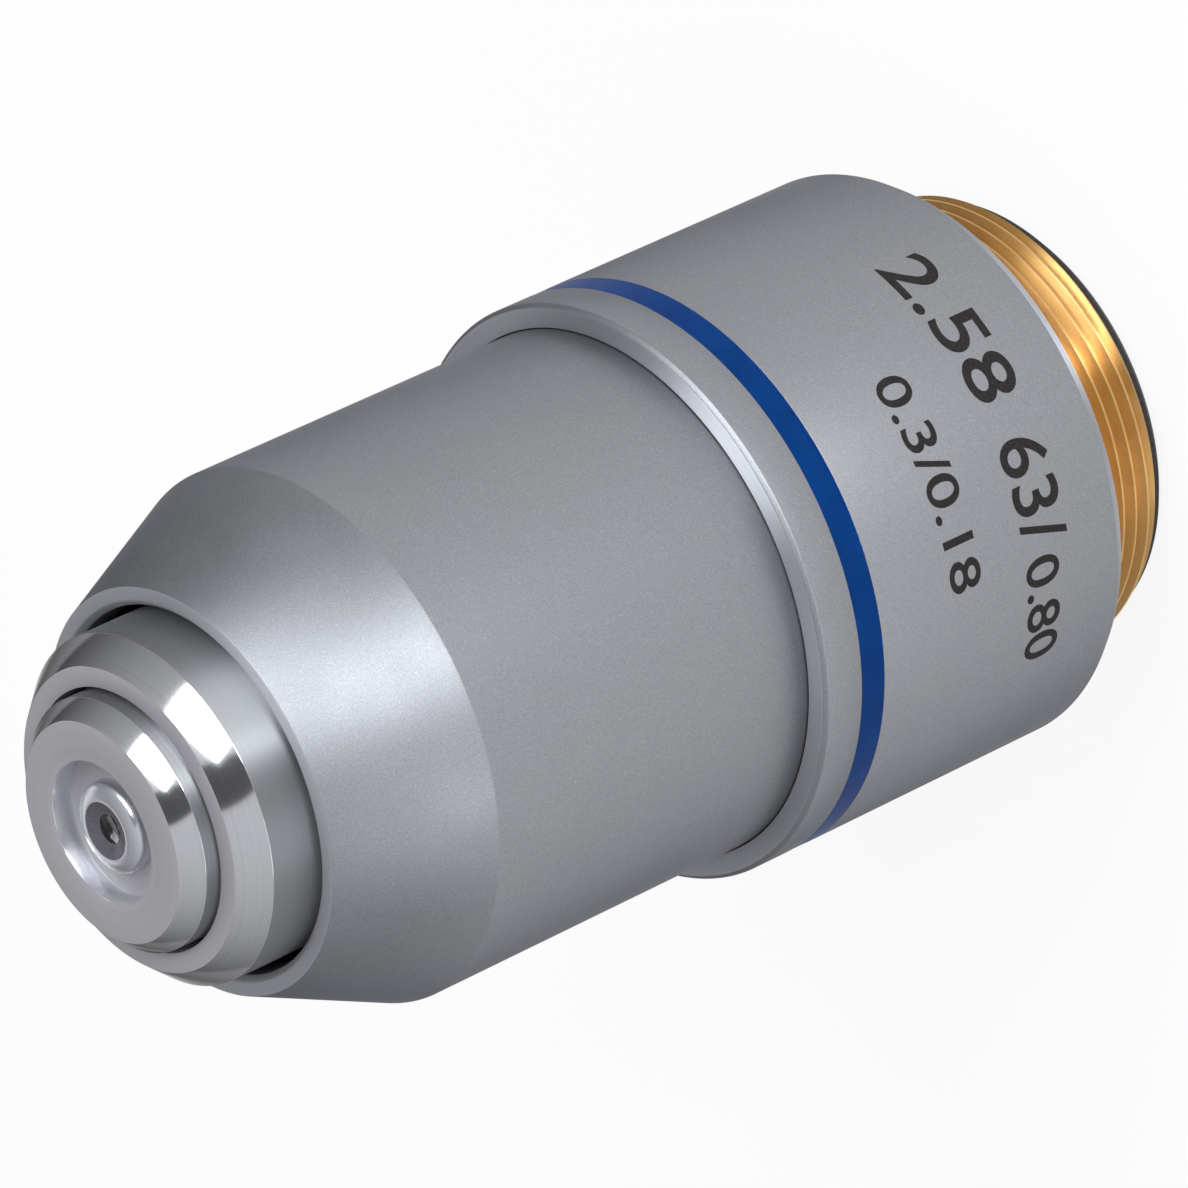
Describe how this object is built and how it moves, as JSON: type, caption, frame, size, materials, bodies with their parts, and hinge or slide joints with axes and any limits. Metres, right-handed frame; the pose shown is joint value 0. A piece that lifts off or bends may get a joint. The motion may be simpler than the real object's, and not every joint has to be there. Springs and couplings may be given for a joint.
{
  "type": "microscope objective",
  "caption": "Spring-loaded high-power objective: conical satin nose, stepped rear sleeve with a colour band, brass mounting thread, and a lens barrel that retracts.",
  "frame": {"origin": "on the optical axis, in the plane of the end ring behind the mounting thread, on which the objective stands", "axes": "+Z along the optical axis, from the mounting thread to the nose; +X through one of the guide screws, square to the axis"},
  "size_m": [0.0252, 0.0252, 0.0497],
  "materials": {
    "bare_brass": "bright turned brass",
    "satin_chrome": "satin, fine bead blasted grain",
    "polished_chrome": "bright plate with turned flat faces",
    "blue_enamel": "glossy enamel in a turned groove",
    "black_paint": "matt black",
    "steel": "bright drawn wire and turned steel",
    "lens_glass": "polished and coated"
  },
  "bodies": {
    "housing": {"mount_body": "bare_brass", "rear_sleeve": "satin_chrome", "colour_band": "blue_enamel", "front_sleeve": "satin_chrome", "guide_bush": "black_paint", "parfocal_ring": "bare_brass", "guide_screws": "steel", "spring_washer": "steel", "coil_spring": "steel", "end_ring": "black_paint"},
    "optics": {"lens_barrel": "polished_chrome", "front_cell": "polished_chrome", "front_lens": "lens_glass", "meniscus_cell": "black_paint", "meniscus_lens": "lens_glass", "doublet_cell": "bare_brass", "doublet_crown": "lens_glass", "doublet_flint": "lens_glass", "spacer_ring": "black_paint", "triplet_cell": "bare_brass", "triplet_front": "lens_glass", "triplet_middle": "lens_glass", "triplet_rear": "lens_glass", "triplet_retainer": "black_paint", "aperture_stop": "black_paint", "spacer_tube": "black_paint", "rear_cell": "bare_brass", "rear_crown": "lens_glass", "rear_flint": "lens_glass", "rear_retainer": "black_paint", "barrel_lock_ring": "black_paint"}
  },
  "joints": [
    {"name": "nose_retract", "type": "slide", "parent": "housing", "child": "optics", "axis": [0, 0, -1], "range_m": [0, 0.0022], "stiffness_N_per_m": 600, "springref_m": -0.003, "deforming": ["coil_spring"]}
  ]
}
